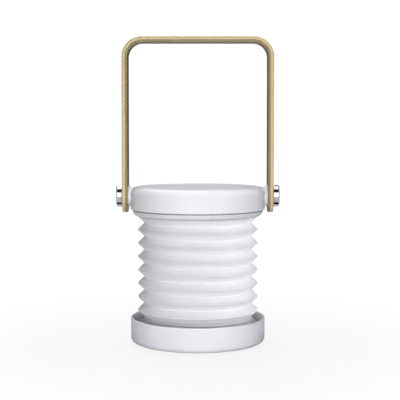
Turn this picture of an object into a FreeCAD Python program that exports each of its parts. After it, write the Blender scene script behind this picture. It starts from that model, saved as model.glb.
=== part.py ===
import FreeCAD, Part
import math
import os

from FreeCAD import Vector

# Folding bellows lantern with a bent-wood carrying bow, standing on a table and fully open.
# All sizes are in millimetres. +Z is up, X runs along the bow's pivot line, +Y is the back, where the
# charging socket is, and the origin is the centre of the foot pad's underside.
# The head holds every electrical piece, so no wire crosses the folding shade. The base is a weighted tray.

# ---------------------------------------------------------------- driving sizes

# body and bellows
body_radius = 56.0  # outside of the head cover and of the base cup
pleat_count = 8  # whole pleats; a half pleat more joins the head
fold_pitch = 11.18  # height of one pleat when the lantern is open
pleat_depth = 5.8  # from ridge to valley, measured along the radius
paper = 0.25  # thickness of the pleated paper
shade_gap = 4.6  # from the ridges to the wall of the cup

# base, from the table up
foot_proud = 0.8  # how far the foot pad stands below the cup
foot_recess = 0.6  # how deep the pad is let into the bottom cover
foot_inner = 34.0
foot_outer = 43.0
cover_thickness = 2.2
cover_gap = 0.2
cup_foot_width = 1.8  # flat ring left between the cup's bottom round and the cover
cup_bottom_round = 4.0
ballast_thickness = 4.6
ballast_bore = 4.0
ballast_foam = 0.8
cup_floor = 2.0
cup_wall = 1.4
rim_round = 0.5

# head
skirt_drop = 5.6  # plug rim that closes the cup when the lantern is folded
skirt_wall = 1.8
skirt_round = 4.5
shadow_gap = 0.9  # groove between the head cover and the skirt
shadow_depth = 1.0
plug_gap = 0.3
fold_gap = 0.3  # daylight between cover and cup when folded
fold_spare = 0.75  # room over the folded pleats
chassis_plate = 2.0
spigot_height = 2.4
spigot_gap = 0.2
shell_wall = 2.0
head_round = 5.6
cover_edge = 0.4

# shade clamps and small screws
clamp_width = 6.5
clamp_thickness = 1.9
clamp_gap = 0.45
clamp_screws = 6
fine_screw = 0.7  # radius of the finest self-tapping screws
small_screw = 1.0
large_screw = 1.3
thread_gap = 0.02
hole_gap = 0.15
boss_wall = 1.6

# light
diffuser_flange = 1.3
diffuser_wall = 1.2
dome_drop = 1.5
lens_gap = 0.3
flange_width = 3.6
carrier_ledge = 1.4
carrier_wall = 1.9
carrier_gap = 0.2
led_board_thickness = 1.6
chip_length = 3.5
chip_width = 2.8
chip_height = 0.8
board_air = 2.0

# battery and electronics
frame_thickness = 1.6
tray_wall = 1.5
tray_height = 4.0
tape_thickness = 0.4
battery_length = 40.0
battery_width = 30.0
battery_height = 10.0
battery_round = 2.0
swell_gap = 1.65
touch_thickness = 0.3
touch_margin = 3.0  # copper left around the touch spring's end
board_width = 30.0
board_length = 32.0
board_thickness = 1.6
board_rise = 2.2
board_edge_gap = 0.9
usb_width = 8.94
usb_height = 3.26
usb_length = 7.35
usb_inset = 0.9
usb_wall = 0.3
usb_slot_gap = 0.35
tongue_gap = 1.2
tongue_thickness = 0.7
light_pipe = 1.2
light_pipe_x = 9.5
spring_wire = 0.25
spring_radius = 2.2
spring_turns = 5
lead_radius = 0.6
lead_pitch = 2.0

# bow and its pivots
handle_reach = 131.9  # from the pivot line to the top of the bow
handle_width = 22.0
handle_thickness = 4.7
handle_bend = 12.0  # inside radius of the two bends
handle_edge = 0.8
handle_tail = 13.7  # from the pivot line to the rounded end of each leg
pivot_rise = 10.9  # pivot line above the lower edge of the head cover
boss_proud = 1.0
boss_radius = 7.5
inner_boss_radius = 7.0
inner_boss_length = 12.0
washer_thickness = 1.0
washer_radius = 9.0
side_gap = 0.05
shoulder_radius = 3.5
shoulder_depth = 3.9
running_gap = 0.05
bush_wall = 1.45
thread_radius = 2.5
nut_flats = 8.0
nut_thickness = 4.0
felt_thickness = 0.45
felt_radius = 8.6
head_radius = 9.0
head_thickness = 5.0
head_chamfer = 0.9
head_crown = 0.35
key_flats = 5.0
key_depth = 2.6

# ---------------------------------------------------------------- places that follow

# heights in the base
cup_bottom = foot_proud
cover_top = cup_bottom + cover_thickness
ballast_top = cover_top + ballast_thickness
floor_under = ballast_top + ballast_foam
floor_top = floor_under + cup_floor
panel_count = 2 * pleat_count + 1
recess_depth = skirt_drop - fold_gap + (panel_count + 2) * paper + fold_spare
rim_top = floor_top + recess_depth

# heights in the shade and the head
panel_rise = fold_pitch / 2
shade_bottom = floor_top + paper
shade_top = shade_bottom + panel_count * panel_rise
plate_under = shade_top + paper
plate_top = plate_under + chassis_plate
head_bottom = plate_under + skirt_drop
travel = head_bottom - rim_top - fold_gap
flange_top = plate_top + diffuser_flange
led_board_under = flange_top + carrier_ledge
led_board_top = led_board_under + led_board_thickness
frame_under = led_board_top + board_air
frame_top = frame_under + frame_thickness
battery_bottom = frame_top + tape_thickness
battery_top = battery_bottom + battery_height
touch_under = battery_top + swell_gap
inner_top = touch_under + touch_thickness
head_top = inner_top + shell_wall
board_under = frame_top + board_rise
board_top = board_under + board_thickness
socket_z = board_top + usb_height / 2
pivot_z = head_bottom + pivot_rise

# radii
cup_inner = body_radius - cup_wall
plug_radius = cup_inner - plug_gap
ridge_radius = cup_inner - shade_gap
valley_radius = ridge_radius - pleat_depth
clamp_outer = valley_radius - paper - clamp_gap
clamp_inner = clamp_outer - clamp_width
clamp_circle = (clamp_outer + clamp_inner) / 2
small_boss = small_screw + boss_wall
cover_radius = body_radius - cup_bottom_round - cup_foot_width
opening_radius = cover_radius + cover_gap
large_boss = large_screw + boss_wall
cover_circle = cover_radius - large_boss - cover_gap
ballast_radius = clamp_circle - small_boss - 2 * cover_gap
shell_inner = body_radius - shell_wall
spigot_outer = shell_inner - spigot_gap
skirt_inner = plug_radius - skirt_wall
post_circle = ridge_radius - large_boss - cover_gap
seat_radius = clamp_inner - 2 * small_boss + cover_gap
diffuser_flange_radius = seat_radius + small_screw
window_radius = diffuser_flange_radius - flange_width
lens_radius = window_radius - lens_gap
led_board_radius = diffuser_flange_radius - flange_width - carrier_wall
ear_circle = diffuser_flange_radius + small_screw + boss_wall / 2

# places of the electronics, from the back wall forwards
board_rear = math.sqrt(shell_inner**2 - (board_width / 2) ** 2) - board_edge_gap
board_front = board_rear - board_length
tray_rear = board_front - tray_wall
battery_rear = tray_rear - tray_wall
battery_front = battery_rear - battery_width
battery_middle = (battery_front + battery_rear) / 2
socket_rear = body_radius - usb_inset
spring_y = board_front + spring_radius + tray_wall
touch_radius = spring_y + spring_radius + touch_margin

# stations along the pivot line, from the inside out
nut_pocket_end = body_radius - inner_boss_length
nut_inner = nut_pocket_end + nut_thickness / 8
shoulder_start = body_radius - shoulder_depth
boss_face = body_radius + boss_proud
washer_face = boss_face + washer_thickness
handle_inner = washer_face + side_gap
handle_outer = handle_inner + handle_thickness
felt_face = handle_outer + felt_thickness
head_face = felt_face + side_gap
bush_radius = shoulder_radius + running_gap + bush_wall


# ---------------------------------------------------------------- shape helpers


def save(name, shape):
    """Writes one sub-part to parts/NAME.step."""
    shape.exportStep(os.path.join("parts", name + ".step"))


def disc(radius, low, high, x=0.0, y=0.0):
    """A solid cylinder standing on Z between two heights."""
    return Part.makeCylinder(radius, high - low, Vector(x, y, low))


def ring(inner, outer, low, high, x=0.0, y=0.0):
    """A tube standing on Z between two heights."""
    return disc(outer, low, high, x, y).cut(disc(inner, low, high, x, y))


def rod(radius, start, end, y=0.0, z=0.0):
    """A solid cylinder along X between two stations."""
    return Part.makeCylinder(radius, end - start, Vector(start, y, z), Vector(1, 0, 0))


def block(x0, x1, y0, y1, z0, z1):
    """A box between two corners."""
    return Part.makeBox(x1 - x0, y1 - y0, z1 - z0, Vector(x0, y0, z0))


def cone(low_radius, high_radius, low, high, x=0.0, y=0.0):
    """A cone standing on Z between two heights."""
    return Part.makeCone(low_radius, high_radius, high - low, Vector(x, y, low))


def revolve(edges):
    """A solid turned about Z from a closed outline in the XZ plane."""
    face = Part.Face(Part.Wire(edges))
    return face.revolve(Vector(0, 0, 0), Vector(0, 0, 1), 360)


def outline(points):
    """Straight edges through points given as (radius, height), closed at the end."""
    corners = [Vector(r, 0, z) for r, z in points]
    loop = corners + corners[:1]
    return [Part.makeLine(a, b) for a, b in zip(loop, loop[1:])]


def hexagon(flats, start, end, z):
    """A hexagonal prism along X, with a corner pointing up."""
    corner = flats / math.sqrt(3)
    turns = [math.radians(60 * k) for k in range(7)]
    points = [Vector(start, corner * math.sin(t), z + corner * math.cos(t)) for t in turns]
    return Part.Face(Part.makePolygon(points)).extrude(Vector(end - start, 0, 0))


def spaced(count, radius, first=0.0):
    """Centres of equally spaced fasteners on a circle, from a first angle in degrees."""
    turns = [math.radians(first + 360.0 * k / count) for k in range(count)]
    return [(radius * math.cos(t), radius * math.sin(t)) for t in turns]


def corners_at(radius, angle):
    """Four places mirrored about both axes, at a radius and an angle in degrees."""
    x = radius * math.cos(math.radians(angle))
    y = radius * math.sin(math.radians(angle))
    return [(x, y), (-x, y), (-x, -y), (x, -y)]


def rounded(shape, radius, wanted):
    """Rounds the edges that wanted(edge) picks."""
    return shape.makeFillet(radius, [e for e in shape.Edges if wanted(e)])


def circle_at(height, radius):
    """Picks the round edge of one radius at one height."""

    def wanted(edge):
        box = edge.BoundBox
        flat = box.ZLength < 1e-4 and abs(box.ZMin - height) < 1e-4
        return flat and abs(box.XLength / 2 - radius) < 1e-3

    return wanted


def upright(edge):
    """Picks the edges that run along Z."""
    box = edge.BoundBox
    return box.XLength < 1e-4 and box.YLength < 1e-4 and box.ZLength > 1e-3


def countersunk(radius, face, tip, places):
    """Countersunk screws along Z, with their flat faces at one height and their points at another."""
    down = tip < face
    sink = 1.1 * radius
    made = []
    for x, y in places:
        shaft = disc(radius, min(face, tip), max(face, tip), x, y)
        if down:
            head = cone(radius, 2.1 * radius, face - sink, face, x, y)
            cross = block(x - 0.25, x + 0.25, y - radius, y + radius, face - 0.5, face)
            across = block(x - radius, x + radius, y - 0.25, y + 0.25, face - 0.5, face)
        else:
            head = cone(2.1 * radius, radius, face, face + sink, x, y)
            cross = block(x - 0.25, x + 0.25, y - radius, y + radius, face, face + 0.5)
            across = block(x - radius, x + radius, y - 0.25, y + 0.25, face, face + 0.5)
        made.append(shaft.fuse(head).cut(cross).cut(across).removeSplitter())
    return Part.makeCompound(made)


def sinks(radius, face, far, places):
    """Clearance holes with countersinks for those screws, from the face to the far side of the wall."""
    sink = 1.1 * radius
    wide = 2.1 * radius + hole_gap
    cuts = []
    for x, y in places:
        cuts.append(disc(radius + hole_gap, min(face, far) - 1, max(face, far) + 1, x, y))
        if far < face:
            cuts.append(cone(radius + hole_gap, wide, face - sink, face, x, y))
        else:
            cuts.append(cone(wide, radius + hole_gap, face, face + sink, x, y))
    return Part.makeCompound(cuts)


def holes(radius, low, high, places):
    """Straight holes along Z."""
    return Part.makeCompound([disc(radius, low, high, x, y) for x, y in places])


def posts(radius, low, high, places):
    """Straight posts along Z, to be fused to a plate."""
    return [disc(radius, low, high, x, y) for x, y in places]


def tube(points, radius):
    """A lead through points: straight runs joined by arcs as large as the runs allow."""
    spine, at = [], points[0]
    for before, corner, after in zip(points, points[1:], points[2:]):
        back, on = before - corner, after - corner
        turn = math.pi - back.getAngle(on)
        cut = 0.45 * min(back.Length, on.Length)
        start = corner + back * (cut / back.Length)
        end = corner + on * (cut / on.Length)
        middle = start + (end - start) * 0.5
        centre = middle + (middle - corner) * (math.tan(turn / 2) ** 2)
        reach = (start - centre).Length
        top = centre + (corner - centre) * (reach / (corner - centre).Length)
        spine.append(Part.LineSegment(at, start).toShape())
        spine.append(Part.Arc(start, top, end).toShape())
        at = end
    spine.append(Part.LineSegment(at, points[-1]).toShape())
    section = Part.Wire(Part.makeCircle(radius, points[0], points[1] - points[0]))
    return Part.Wire(spine).makePipeShell([section], True, False)


# ---------------------------------------------------------------- base


def base_cup():
    """Moulded tray: a thin rim above the floor, and a thick skirt with screw bosses below it."""
    cup = disc(body_radius, cup_bottom, rim_top)
    cup = rounded(cup, cup_bottom_round, circle_at(cup_bottom, body_radius))
    cup = cup.cut(disc(cup_inner, floor_top, rim_top))
    cup = rounded(cup, rim_round, circle_at(rim_top, body_radius))
    cup = cup.cut(disc(opening_radius, cup_bottom, floor_under))
    bosses = posts(large_boss, cover_top, floor_under, cover_screw_places())
    bosses += posts(small_boss, cover_top + ballast_foam, floor_under, lower_clamp_places())
    cup = cup.multiFuse(bosses).removeSplitter()
    cup = cup.cut(holes(large_screw + thread_gap, cover_top, floor_under, cover_screw_places()))
    depth = cover_top + ballast_foam
    return cup.cut(holes(small_screw + thread_gap, depth, floor_top, lower_clamp_places()))


def cover_screw_places():
    return spaced(4, cover_circle, 45)


def lower_clamp_places():
    return spaced(clamp_screws, clamp_circle, 30)


def upper_clamp_places():
    return spaced(clamp_screws, clamp_circle, 0)


def base_cover():
    """Flat disc that closes the base, with a ring recess for the foot pad and sunk screw heads."""
    cover = disc(cover_radius, cup_bottom, cover_top)
    cover = cover.cut(ring(foot_inner, foot_outer, cup_bottom, cup_bottom + foot_recess))
    cover = cover.cut(holes(large_screw + hole_gap, cup_bottom, cover_top, cover_screw_places()))
    sunk = holes(2 * large_screw + hole_gap, cup_bottom, cup_bottom + large_screw, cover_screw_places())
    return cover.cut(sunk)


def base_cover_screws():
    """Pan-head screws that hold the bottom cover up against the cup's bosses."""
    made = []
    low = cup_bottom + hole_gap
    high = cup_bottom + large_screw
    for x, y in cover_screw_places():
        head = disc(2 * large_screw, low, high, x, y)
        shaft = disc(large_screw, high, floor_under - hole_gap, x, y)
        slot = block(x - large_screw, x + large_screw, y - 0.3, y + 0.3, low, low + 0.6)
        made.append(head.fuse(shaft).cut(slot).removeSplitter())
    return Part.makeCompound(made)


def ballast_plate():
    """Steel disc that keeps the lantern upright and pulls the shade open when it is carried."""
    plate = ring(ballast_bore, ballast_radius, cover_top, ballast_top)
    return plate.makeChamfer(0.4, [e for e in plate.Edges if circle_at(ballast_top, ballast_radius)(e)])


def ballast_pad():
    """Foam ring that stops the ballast from rattling under the floor."""
    return ring(ballast_bore, ballast_radius - 3 * cover_gap, ballast_top, floor_under)


def foot_pad():
    """Soft ring that the lantern stands on."""
    pad = ring(foot_inner + cover_gap, foot_outer - cover_gap, 0, cup_bottom + foot_recess)
    lower = circle_at(0, foot_outer - cover_gap)
    return rounded(pad, 0.3, lower)


def clamp_ring(low, high, face, places):
    """Flat ring that presses one end of the shade down; its screws enter at the face height."""
    far = low if face == high else high
    made = ring(clamp_inner, clamp_outer, low, high)
    return made.cut(sinks(small_screw, face, far, places))


# ---------------------------------------------------------------- shade


def shade():
    """Pleated paper tube: a flange at each end, and panels that lean in and out by turns."""
    across = paper * math.hypot(panel_rise, pleat_depth) / panel_rise
    outer, inner = [], []
    for k in range(panel_count + 1):
        radius = ridge_radius if k % 2 == 0 else valley_radius
        height = shade_top - k * panel_rise
        outer.append((radius, height))
        inner.append((radius - across, height))
    flange_inner = clamp_inner
    points = [(flange_inner, plate_under), (ridge_radius, plate_under)]
    points += outer
    points += [(valley_radius, floor_top), (flange_inner, floor_top), (flange_inner, shade_bottom)]
    points += inner[::-1]
    points += [(flange_inner, shade_top)]
    body = revolve(outline(points))
    passing = small_screw + 2 * hole_gap
    body = body.cut(holes(passing, shade_top - 1, plate_under + 1, upper_clamp_places()))
    return body.cut(holes(passing, floor_top - 1, shade_bottom + 1, lower_clamp_places()))


# ---------------------------------------------------------------- head


def head_cover():
    """Moulded cover of the head, with a boss for each pivot and four screw posts inside."""
    shell = disc(body_radius, head_bottom, head_top)
    shell = rounded(shell, head_round, circle_at(head_top, body_radius))
    core = disc(shell_inner, head_bottom, inner_top)
    core = rounded(core, head_round - shell_wall, circle_at(inner_top, shell_inner))
    shell = shell.cut(core)
    shell = rounded(shell, cover_edge, circle_at(head_bottom, body_radius))
    added = posts(large_boss, plate_top, inner_top + shell_wall / 2, head_screw_places())
    for side in (1, -1):
        outside = rod(boss_radius, shell_inner - shell_wall, boss_face, z=pivot_z)
        inside = rod(inner_boss_radius, nut_pocket_end, shell_inner, z=pivot_z)
        added += [along(side, outside), along(side, inside.common(disc(body_radius, 0, head_top - 0.5)))]
    shell = shell.multiFuse(added).removeSplitter()
    for side in (1, -1):
        bore = rod(shoulder_radius + 2 * running_gap, shoulder_start, boss_face, z=pivot_z)
        thread_way = rod(thread_radius + hole_gap, nut_pocket_end, shoulder_start, z=pivot_z)
        pocket = hexagon(nut_flats + hole_gap, nut_pocket_end, nut_inner + nut_thickness, pivot_z)
        for way in (bore, thread_way, pocket):
            shell = shell.cut(along(side, way))
    screw_hole = large_screw + thread_gap
    shell = shell.cut(holes(screw_hole, plate_top, inner_top - shell_wall, head_screw_places()))
    shell = shell.cut(socket_outline(usb_slot_gap, shell_inner - shell_wall, body_radius + 1))
    start = Vector(light_pipe_x, 0, socket_z)
    pipe_way = Part.makeCylinder(light_pipe + running_gap, body_radius, start, Vector(0, 1, 0))
    return shell.cut(pipe_way.common(ring(shell_inner - shell_wall, body_radius + 1, head_bottom, head_top)))


def along(side, shape):
    """The piece itself on the right, and turned about Z to the left."""
    return shape if side > 0 else shape.rotated(Vector(0, 0, 0), Vector(0, 0, 1), 180)


def head_screw_places():
    return corners_at(post_circle, 45)


def frame_screw_places():
    return corners_at(clamp_circle, 30)


def ear_places():
    return spaced(3, ear_circle, 45)


def socket_outline(gap, front, rear):
    """A bar with the socket's rounded section, grown by a gap, between two depths."""
    half = usb_width / 2 + gap
    low = socket_z - usb_height / 2 - gap
    high = socket_z + usb_height / 2 + gap
    bar = block(-half, half, front, rear, low, high)
    reach = (high - low) / 2 - 0.01

    def long_edge(edge):
        box = edge.BoundBox
        return box.XLength < 1e-4 and box.ZLength < 1e-4

    return rounded(bar, reach, long_edge)


def chassis():
    """Dish that closes the head from below; its rounded skirt plugs into the base cup when folded."""
    dish = disc(plug_radius, plate_under, head_bottom)
    dish = rounded(dish, skirt_round, circle_at(plate_under, plug_radius))
    hollow = disc(skirt_inner, plate_top, head_bottom)
    hollow = rounded(hollow, skirt_round - skirt_wall, circle_at(plate_top, skirt_inner))
    dish = dish.cut(hollow)
    groove = ring(plug_radius - shadow_depth, body_radius, head_bottom - shadow_gap, head_bottom)
    dish = dish.cut(groove)
    spigot_top = head_bottom + spigot_height
    added = [ring(skirt_inner - spigot_gap, spigot_outer, head_bottom - skirt_wall, spigot_top)]
    added += posts(small_boss, plate_top - 1, frame_under - board_air, upper_clamp_places())
    added += posts(small_boss, plate_top - 1, frame_under, frame_screw_places())
    added += posts(small_screw + boss_wall / 2, plate_top - 1, flange_top, ear_places())
    dish = dish.multiFuse(added).removeSplitter()
    dish = dish.cut(disc(window_radius, plate_under - 1, plate_top + 1))
    screw_hole = small_screw + thread_gap
    dish = dish.cut(holes(screw_hole, plate_under, frame_under - board_air - 1, upper_clamp_places()))
    dish = dish.cut(holes(screw_hole, plate_top - 1, frame_under, frame_screw_places()))
    dish = dish.cut(holes(fine_screw + thread_gap, plate_under + 0.6, flange_top, ear_places()))
    return dish.cut(sinks(large_screw, plate_under, plate_top, head_screw_places()))


def diffuser():
    """Opal lens: a shallow dish that hangs through the chassis window by its flange."""
    outer_arc = Part.Arc(
        Vector(0, 0, plate_under - dome_drop),
        *dome_points(lens_radius, plate_under, dome_drop),
    ).toShape()
    inner_radius = lens_radius - diffuser_wall
    inner_arc = Part.Arc(
        Vector(0, 0, plate_under - dome_drop + diffuser_wall),
        *dome_points(inner_radius, plate_under + diffuser_wall, dome_drop),
    ).toShape()
    walls = [
        (lens_radius, plate_under),
        (lens_radius, plate_top),
        (diffuser_flange_radius, plate_top),
        (diffuser_flange_radius, flange_top),
        (inner_radius, flange_top),
        (inner_radius, plate_under + diffuser_wall),
    ]
    sides = outline(walls)[:-1]
    axis = Part.makeLine(inner_arc.Vertexes[0].Point, outer_arc.Vertexes[0].Point)
    return revolve([outer_arc, *sides, inner_arc, axis])


def dome_points(radius, height, drop):
    """The middle and end points of a shallow arc that starts on the axis, drop below the height."""
    ball = (radius**2 + drop**2) / (2 * drop)
    half = radius / 2
    sag = drop - (ball - math.sqrt(ball**2 - half**2))
    return Vector(half, 0, height - sag), Vector(radius, 0, height)


def led_carrier():
    """White ring that holds the light board over the diffuser, with three screw ears."""
    board_seat = led_board_radius + carrier_gap
    ledge = ring(led_board_radius - carrier_wall, diffuser_flange_radius, flange_top, led_board_under)
    wall = ring(board_seat, board_seat + carrier_wall, led_board_under, led_board_top)
    pieces = [wall]
    for k in range(3):
        ear = block(window_radius, ear_circle, -small_boss, small_boss, flange_top, led_board_under)
        tip = disc(small_boss, flange_top, led_board_under, ear_circle)
        pieces.append(ear.fuse(tip).rotated(Vector(0, 0, 0), Vector(0, 0, 1), 45 + 120 * k))
    made = ledge.multiFuse(pieces).removeSplitter()
    return made.cut(sinks(fine_screw, led_board_under, flange_top, ear_places()))


def led_board():
    """Aluminium disc that carries the light chips on its underside."""
    board = disc(led_board_radius, led_board_under, led_board_top)
    return board.cut(disc(ballast_bore / 2, led_board_under, led_board_top))


def led_chips():
    """Two rings of surface-mounted light chips, each turned to face the centre."""
    chips = []
    for count, share in ((12, 0.72), (6, 0.38)):
        for k in range(count):
            middle = share * led_board_radius
            chip = block(
                middle - chip_length / 2,
                middle + chip_length / 2,
                -chip_width / 2,
                chip_width / 2,
                led_board_under - chip_height,
                led_board_under,
            )
            chips.append(chip.rotated(Vector(0, 0, 0), Vector(0, 0, 1), 360.0 * k / count))
    return Part.makeCompound(chips)


def battery_frame():
    """Bridge over the light board: battery tray, two cross bars on posts, and a shelf for the board."""
    x, y = frame_screw_places()[0]
    half = battery_length / 2 + tray_wall
    front = battery_front - tray_wall
    plate = block(-half, half, -y, tray_rear, frame_under, frame_top)
    tray_top = frame_top + tray_height
    walls = block(-half, half, front, tray_rear, frame_top, tray_top)
    walls = walls.cut(
        block(
            -battery_length / 2 - running_gap,
            battery_length / 2 + running_gap,
            battery_front - running_gap,
            battery_rear + running_gap,
            frame_top,
            tray_top,
        )
    )
    walls = walls.cut(block(-half / 2, half / 2, front, tray_rear, frame_top + tray_wall, tray_top))
    bars = [block(-x, x, s * y - small_boss, s * y + small_boss, frame_under, frame_top) for s in (1, -1)]
    ends = posts(small_boss, frame_under, frame_top, frame_screw_places())
    shelf = block(-board_width / 2, board_width / 2, tray_rear, board_rear, frame_under, frame_top)
    window = board_width / 2 - 2 * small_boss
    window_front = board_front + 2 * small_boss
    window_rear = board_rear - 2 * small_boss
    shelf = shelf.cut(block(-window, window, window_front, window_rear, frame_under, frame_top))
    stands = posts(small_screw + boss_wall / 2, frame_top, board_under, board_screw_places())
    frame = plate.multiFuse([walls, *bars, *ends, shelf, *stands]).removeSplitter()
    frame = frame.cut(holes(small_screw + hole_gap, frame_under, frame_top, frame_screw_places()))
    return frame.cut(holes(fine_screw + thread_gap, frame_under, board_under, board_screw_places()))


def board_screw_places():
    inset = small_screw + boss_wall
    x = board_width / 2 - inset
    return [(s * x, y) for y in (board_front + inset, board_rear - inset) for s in (1, -1)]


def pan_screws(radius, under, tip, places):
    """Pan-head screws that enter from above, with a slot."""
    made = []
    for x, y in places:
        head = disc(2 * radius, under, under + radius, x, y)
        shaft = disc(radius, tip, under, x, y)
        slot = block(x - radius, x + radius, y - 0.2, y + 0.2, under + radius / 2, under + radius)
        made.append(head.fuse(shaft).cut(slot).removeSplitter())
    return Part.makeCompound(made)


def battery_cell():
    """Flat lithium cell with rounded edges, lying in the tray."""
    half = battery_length / 2
    cell = block(-half, half, battery_front, battery_rear, battery_bottom, battery_top)
    return rounded(cell, battery_round, lambda e: e.BoundBox.XLength > battery_length / 2 or upright(e))


def battery_tape():
    """Foam tape between the cell and the tray."""
    half = battery_length / 4
    middle = battery_middle
    return block(-half, half, middle - half, middle + half, frame_top, battery_bottom)


def control_board():
    """Circuit board with the charger and the touch dimmer, screwed to four stands."""
    half = board_width / 2
    board = block(-half, half, board_front, board_rear, board_under, board_top)
    return board.cut(holes(fine_screw + hole_gap, board_under, board_top, board_screw_places()))


def control_parts():
    """Separate chips, coil and connectors on the control board."""
    back = board_rear - usb_length
    middle = (spring_y + back) / 2
    sizes = [
        (-6.0, middle, 7.0, 7.0, 1.2),
        (5.5, middle, 5.0, 4.0, 1.5),
        (-8.5, back + 2.0, 5.0, 5.0, 2.6),
        (11.0, middle, 2.0, 1.25, 0.8),
        (0.5, middle, 2.0, 1.25, 0.8),
    ]
    made = []
    for x, y, width, depth, height in sizes:
        left, front = x - width / 2, y - depth / 2
        made.append(block(left, left + width, front, front + depth, board_top, board_top + height))
    x, y, z = battery_plug_place()
    made.append(block(x - 2 * lead_pitch, x + 2 * lead_pitch, y, y + 4, board_top, z + 1.5 * lead_pitch))
    x, y, z = light_plug_place()
    made.append(block(x - 2 * lead_pitch, x + 2 * lead_pitch, y, y + 4, z - lead_radius - 0.5, board_under))
    return Part.makeCompound(made)


def battery_plug_place():
    """Where the battery's leads meet their connector, beside the touch spring."""
    return 10.0 - small_screw, board_front + 2 * small_boss + 1.0, board_top + lead_pitch


def light_plug_place():
    """Where the light board's leads meet their connector, under the control board."""
    return -5.0, board_front + 2 * small_boss + 6.2, board_under - 1.5


def usb_socket():
    """Thin steel shell with a contact tongue, opening to the back."""
    front = socket_rear - usb_length
    shell = socket_outline(0.0, front, socket_rear)
    shell = shell.cut(socket_outline(-usb_wall, front + usb_wall, socket_rear))
    side = usb_width / 2 - tongue_gap
    low = socket_z - tongue_thickness / 2
    back = front + usb_wall
    tongue = block(-side, side, back, socket_rear - tongue_gap, low, low + tongue_thickness)
    return Part.makeCompound([shell, tongue])


def charge_light():
    """Clear rod that carries the charging light through the back wall."""
    rear = math.sqrt(body_radius**2 - light_pipe_x**2) - usb_wall
    start = Vector(light_pipe_x, board_rear - 2.0, socket_z)
    return Part.makeCylinder(light_pipe, rear - start.y, start, Vector(0, 1, 0))


def touch_plate():
    """Copper disc stuck under the top, which senses a finger through the cover."""
    return disc(touch_radius, touch_under, inner_top)


def touch_spring():
    """Coil that joins the touch plate to the control board."""
    low = board_top + spring_wire
    height = touch_under - spring_wire - low
    helix = Part.makeHelix(height / spring_turns, height, spring_radius)
    start = Vector(spring_radius, 0, 0)
    section = Part.Wire(Part.makeCircle(spring_wire, start, Vector(0, 1, height / spring_turns / 14)))
    coil = Part.Wire(helix).makePipeShell([section], True, True)
    coil.translate(Vector(0, spring_y, low))
    return coil


def battery_lead(side):
    """One lead from the back of the cell to its connector."""
    x, y, z = battery_plug_place()
    x += side * lead_pitch / 2
    start = battery_bottom + 0.75 * battery_height
    return tube(
        [
            Vector(x, battery_rear, start),
            Vector(x, battery_rear + 0.45 * (y - battery_rear), start),
            Vector(x, battery_rear + 0.65 * (y - battery_rear), z),
            Vector(x, y, z),
        ],
        lead_radius,
    )


def light_lead(side):
    """One lead from the light board up to its connector under the control board."""
    x, y, z = light_plug_place()
    x += side * lead_pitch / 2
    foot = y - 5.0
    return tube([Vector(x, foot, led_board_top), Vector(x, foot, z), Vector(x, y, z)], lead_radius)


# ---------------------------------------------------------------- pivots and bow


def pivot_screw():
    """Polished shoulder screw; its thread ends in the nut, and the bow turns on its shoulder."""
    thread = rod(thread_radius, nut_pocket_end - 0.8, shoulder_start, z=pivot_z)
    shoulder = rod(shoulder_radius, shoulder_start, head_face, z=pivot_z)
    end = head_face + head_thickness
    head = rod(head_radius, head_face, end - head_crown, z=pivot_z)
    rim = [e for e in head.Edges if e.BoundBox.XMin > end - head_crown - 1e-4]
    head = head.makeChamfer(head_chamfer, rim)
    face = head_radius - head_chamfer
    ball = (face**2 + head_crown**2) / (2 * head_crown)
    crown = Part.makeSphere(ball, Vector(end - ball, 0, pivot_z))
    crown = crown.common(rod(face, end - head_crown, end, z=pivot_z))
    screw = head.multiFuse([crown, shoulder, thread]).removeSplitter()
    return screw.cut(hexagon(key_flats, end - key_depth, end + 1, pivot_z))


def pivot_nut():
    """Hexagon nut held in its pocket inside the head."""
    nut = hexagon(nut_flats, nut_inner, nut_inner + nut_thickness, pivot_z)
    return nut.cut(rod(thread_radius + thread_gap, nut_pocket_end - 1, body_radius, z=pivot_z))


def collar(inner, outer, start, end):
    """A flat ring on the pivot line."""
    return rod(outer, start, end, z=pivot_z).cut(rod(inner, start, end, z=pivot_z))


def handle_bow():
    """Bent-wood strip: two legs with round ends, two bends and a straight grip."""
    top = pivot_z + handle_reach
    foot = pivot_z - handle_tail
    outer_bend = handle_bend + handle_thickness

    def half_outline(x, z, bend):
        """Edges from the right foot over the bends to the left foot, at one side of the strip."""
        lean = bend * (1 - math.sqrt(0.5))
        places = [(x, foot), (x, z - bend), (x - lean, z - lean), (x - bend, z)]
        right = [Vector(px, 0, pz) for px, pz in places]
        left = [Vector(-px, 0, pz) for px, pz in places]
        return [
            Part.makeLine(right[0], right[1]),
            Part.Arc(*right[1:]).toShape(),
            Part.makeLine(right[3], left[3]),
            Part.Arc(*left[:0:-1]).toShape(),
            Part.makeLine(left[1], left[0]),
        ]

    outside = half_outline(handle_outer, top, outer_bend)
    inside = half_outline(handle_inner, top - handle_thickness, handle_bend)
    ends = [
        Part.makeLine(Vector(-handle_outer, 0, foot), Vector(-handle_inner, 0, foot)),
        Part.makeLine(Vector(handle_inner, 0, foot), Vector(handle_outer, 0, foot)),
    ]
    wire = Part.Wire(Part.__sortEdges__(outside + inside + ends))
    strip = Part.Face(wire).extrude(Vector(0, handle_width, 0))
    strip.translate(Vector(0, -handle_width / 2, 0))
    tip = handle_width / 2
    keep = block(-2 * body_radius, 2 * body_radius, -tip, tip, foot + tip, top)
    keep = keep.fuse(rod(tip, -2 * body_radius, 2 * body_radius, z=foot + tip)).removeSplitter()
    strip = strip.common(keep)
    strip = strip.makeFillet(handle_edge, [e for e in strip.Edges if not across_strip(e)])
    hole = bush_radius + thread_gap
    for side in (1, -1):
        strip = strip.cut(along(side, rod(hole, handle_inner - 1, handle_outer + 1, z=pivot_z)))
    return strip


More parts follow.
